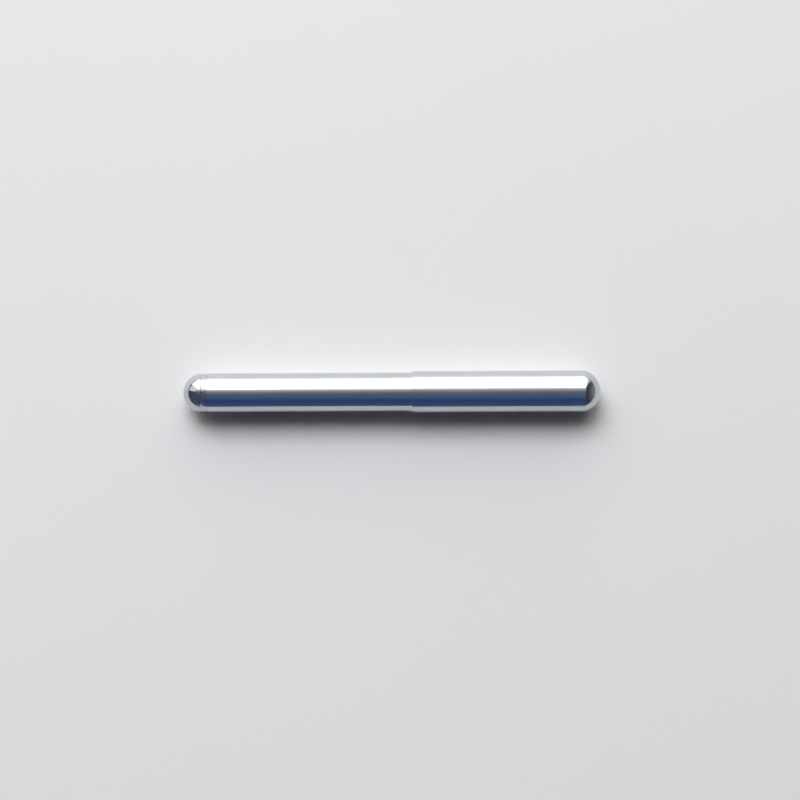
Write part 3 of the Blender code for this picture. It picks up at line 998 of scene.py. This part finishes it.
def make_clamp_ring(material):
    start, end = span("clamp_ring")
    inner = 2.4 * MM
    outer = 3.3 * MM
    edge_radius = 0.2 * MM
    flute_count = 24
    flute_depth = 0.12 * MM
    outline = softened(band(start, end, inner, outer), edge_radius)
    flutes = (flute_count, outer - 0.05 * MM, flute_depth)
    piece = turned("clamp_ring_moulded", outline, SHELL_SIDES, ribs=flutes)
    finish_piece(piece, "cartridge", "white_plastic", material, "clamp_ring")


# ---------------------------------------------------------------- stage

WINDOW_DISTANCE = 1.0


def make_floor():
    half = 2.2
    edge_gap = 0.02
    cap_sag = outer_radius("cap_shell") * (1 - FLAT_SHARE)
    shape = bmesh.new()
    bmesh.ops.create_grid(shape, x_segments=2, y_segments=2, size=half)
    floor = mesh_object("paper_floor", shape)
    # Its far edge is just under the window. The round cap reaches a little lower than its flat in the frame
    floor.location = (0.0, WINDOW_DISTANCE - edge_gap - half, -cap_sag)
    floor.data.materials.append(paper())


def add_window_light(name, left, right, foot, head, radiance, color, mirrored=True):
    """An upright panel of light behind the pen, of an even radiance. The lit paper's is just under 1."""
    light = bpy.data.lights.new(name, "AREA")
    light.shape = "RECTANGLE"
    light.size = right - left
    light.size_y = head - foot
    light.energy = radiance * math.pi * light.size * light.size_y
    light.color = color
    panel = bpy.data.objects.new(name, light)
    panel.location = ((left + right) / 2, WINDOW_DISTANCE, (head + foot) / 2)
    panel.rotation_euler = (math.radians(90), 0.0, math.radians(180))
    panel.visible_camera = False
    panel.visible_glossy = mirrored
    bpy.context.scene.collection.objects.link(panel)


def make_window():
    """A wide window behind the pen lights the paper, and is the bright band on the metal.

    The metal mirrors only part of its strength, so that the light it throws back on the paper stays soft.
    """
    daylight = (0.985, 0.99, 1.0)
    warm_daylight = (1.0, 0.94, 0.82)
    skylight = (0.95, 0.99, 1.12)
    add_window_light("window", -1.3, 0.88, 0.13, 2.85, 2.0, warm_daylight)
    add_window_light("window_skylight", -0.80, 0.20, 0.84, 2.1, 7.8, skylight, mirrored=False)
    add_window_light("pale_wall", -5.0, -1.3, 0.35, 4.5, 0.85, daylight)
    add_window_light("window_reveal_right", 0.88, 1.25, 0.075, 2.6, 0.55, daylight)


def fill_ramp(ramp, stops):
    elements = ramp.color_ramp.elements
    while len(elements) < len(stops):
        elements.new(0.5)
    for element, (position, color) in zip(elements, stops):
        element.position = position
        element.color = (*color, 1.0)


def halved(tree, source):
    """Maps -1..1 to 0..1."""
    node = tree.nodes.new("ShaderNodeMapRange")
    node.inputs["From Min"].default_value = -1.0
    tree.links.new(source, node.inputs["Value"])
    return node.outputs["Result"]


def room_color(tree):
    """The colour of the dim room by direction."""
    new, link = tree.nodes.new, tree.links.new
    way = new("ShaderNodeSeparateXYZ")
    link(new("ShaderNodeTexCoord").outputs["Generated"], way.inputs["Vector"])
    over = new("ShaderNodeMath")
    over.operation = "ARCTAN2"
    link(way.outputs["Z"], over.inputs[0])
    link(way.outputs["Y"], over.inputs[1])
    share = new("ShaderNodeMath")
    share.operation = "DIVIDE"
    share.inputs[1].default_value = math.pi
    link(over.outputs[0], share.inputs[0])
    # From the horizon behind, over the top, to the horizon in front
    back_to_front = new("ShaderNodeValToRGB")
    stops = (
        (0.00, (1.45, 1.45, 1.54)),
        (0.05, (1.40, 1.40, 1.48)),
        (0.08, (0.42, 0.43, 0.45)),
        (0.41, (0.90, 0.86, 0.88)),
        (0.44, (0.55, 0.53, 0.55)),
        (0.47, (0.36, 0.345, 0.36)),
        (0.50, (0.250, 0.240, 0.260)),
        (0.55, (0.140, 0.145, 0.225)),
        (0.66, (0.074, 0.131, 0.260)),
        (0.78, (0.030, 0.062, 0.200)),
        (0.92, (0.062, 0.086, 0.170)),
        (1.00, (0.085, 0.120, 0.180)),
    )
    fill_ramp(back_to_front, stops)
    link(share.outputs[0], back_to_front.inputs["Fac"])
    # The room is darkest to the sides, and mid grey again near the horizon at the cap's end
    aside = new("ShaderNodeMath")
    aside.operation = "ABSOLUTE"
    link(way.outputs["X"], aside.inputs[0])
    sides = new("ShaderNodeMapRange")
    sides.interpolation_type = "SMOOTHSTEP"
    sides.inputs["From Min"].default_value = 0.13
    sides.inputs["From Max"].default_value = 0.58
    link(aside.outputs[0], sides.inputs["Value"])
    side_walls = new("ShaderNodeValToRGB")
    walls = (
        (0.00, (0.07, 0.07, 0.09)),
        (0.30, (0.10, 0.10, 0.12)),
        (0.50, (0.06, 0.06, 0.07)),
        (0.80, (0.045, 0.045, 0.05)),
        (0.93, (0.12, 0.12, 0.13)),
        (1.00, (0.26, 0.26, 0.28)),
    )
    fill_ramp(side_walls, walls)
    link(halved(tree, way.outputs["X"]), side_walls.inputs["Fac"])
    mixed = new("ShaderNodeMix")
    mixed.data_type = "RGBA"
    link(sides.outputs["Result"], mixed.inputs["Factor"])
    link(back_to_front.outputs["Color"], mixed.inputs["A"])
    link(side_walls.outputs["Color"], mixed.inputs["B"])
    return mixed.outputs["Result"]


def background(tree, color):
    node = tree.nodes.new("ShaderNodeBackground")
    node.inputs["Color"].default_value = (*color, 1.0)
    return node.outputs["Background"]


def make_room():
    """The metal mirrors the dim room, the paper gets an even fill, and a pale backdrop is past the floor."""
    world = bpy.data.worlds.new("room")
    bpy.context.scene.world = world
    world.use_nodes = True
    tree = world.node_tree
    new, link = tree.nodes.new, tree.links.new
    path = new("ShaderNodeLightPath")

    def unless(ray, usual, other):
        """The other background for this kind of ray, and the usual one for the rest."""
        choice = new("ShaderNodeMixShader")
        link(path.outputs[ray], choice.inputs["Fac"])
        link(usual, choice.inputs[1])
        link(other, choice.inputs[2])
        return choice.outputs["Shader"]

    room = new("ShaderNodeBackground")
    link(room_color(tree), room.inputs["Color"])
    fill = background(tree, (0.0195, 0.0185, 0.017))
    backdrop = background(tree, (0.70, 0.71, 0.74))
    lit = unless("Is Diffuse Ray", room.outputs["Background"], fill)
    seen = unless("Is Camera Ray", lit, backdrop)
    output = next(node for node in tree.nodes if node.type == "OUTPUT_WORLD")
    link(seen, output.inputs["Surface"])


def make_camera():
    """Straight above a point a little to the right of the pen's middle and in front of it."""
    view_width = 0.186
    lens = 85.0
    turn = math.radians(-0.27)
    data = bpy.data.cameras.new("camera")
    data.lens = lens
    data.sensor_width = 36.0
    camera = bpy.data.objects.new("camera", data)
    height = view_width * lens / data.sensor_width + AXIS_Z
    camera.location = (1.86 * MM, -1.86 * MM, height)
    camera.rotation_euler = (0.0, 0.0, turn)
    bpy.context.scene.collection.objects.link(camera)
    bpy.context.scene.camera = camera
    bpy.context.scene.view_settings.view_transform = "Standard"


def main():
    aluminium = polished_aluminium()
    satin = satin_aluminium()
    steel = stainless_steel()
    wire = spring_steel()
    white = white_plastic()
    black = black_plastic()
    black_rubber = rubber("black_rubber", (0.018, 0.018, 0.019))
    grey_rubber = rubber("grey_rubber", (0.26, 0.27, 0.28))
    make_cap_shell(aluminium)
    make_retaining_ring(wire)
    make_inner_cap(white)
    make_point_seal(grey_rubber)
    make_springs(wire)
    make_washers(white)
    make_barrel_tube(aluminium)
    make_tail_finial(aluminium)
    make_grip_section(satin)
    make_o_rings(black_rubber)
    make_line_width_ring(blue_plastic())
    make_drawing_cone(steel)
    make_nib_tube(steel)
    make_compensator(black)
    make_safety_plug(black)
    make_needle(brass(), steel)
    make_cartridge(clear_plastic())
    make_ink(ink())
    make_clamp_ring(white)
    make_floor()
    make_window()
    make_room()
    make_camera()


main()
